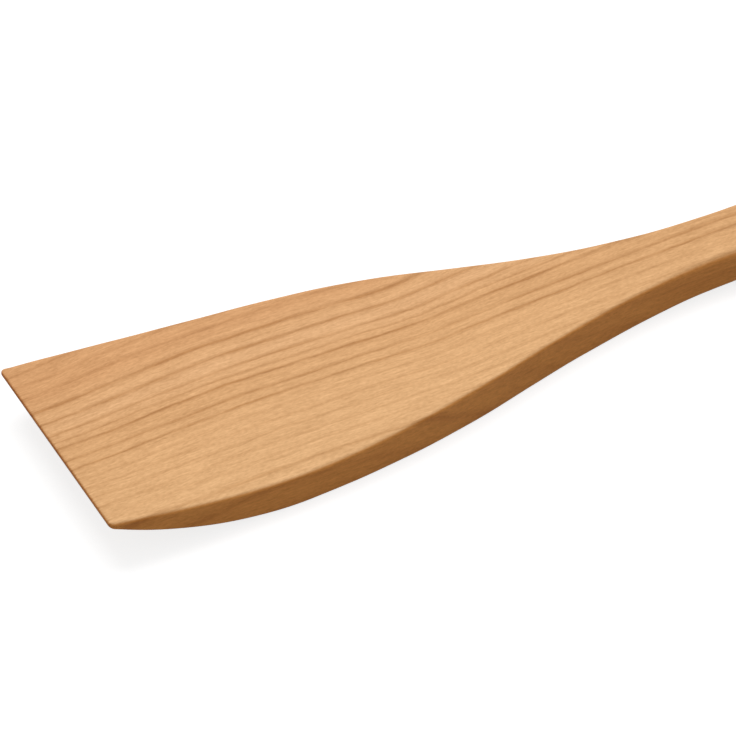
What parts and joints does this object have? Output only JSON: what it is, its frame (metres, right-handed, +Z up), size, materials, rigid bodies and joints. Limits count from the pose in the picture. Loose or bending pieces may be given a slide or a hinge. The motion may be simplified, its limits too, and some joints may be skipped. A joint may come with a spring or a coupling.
{
  "type": "wooden scraper",
  "caption": "Flat wooden scraper sawn from one board: broad blade hollowed on top, underside swept up to a thin straight edge, narrow neck, rising handle with hanging hole.",
  "frame": {"origin": "on the table, under the middle of the scraper", "axes": "+X from the scraping edge towards the end of the handle, +Y across the blade, +Z up"},
  "size_m": [0.3, 0.069, 0.0157],
  "materials": {
    "wood": "sanded, oiled cherry wood"
  },
  "bodies": {
    "root": {"scraper": "wood"}
  },
  "joints": []
}
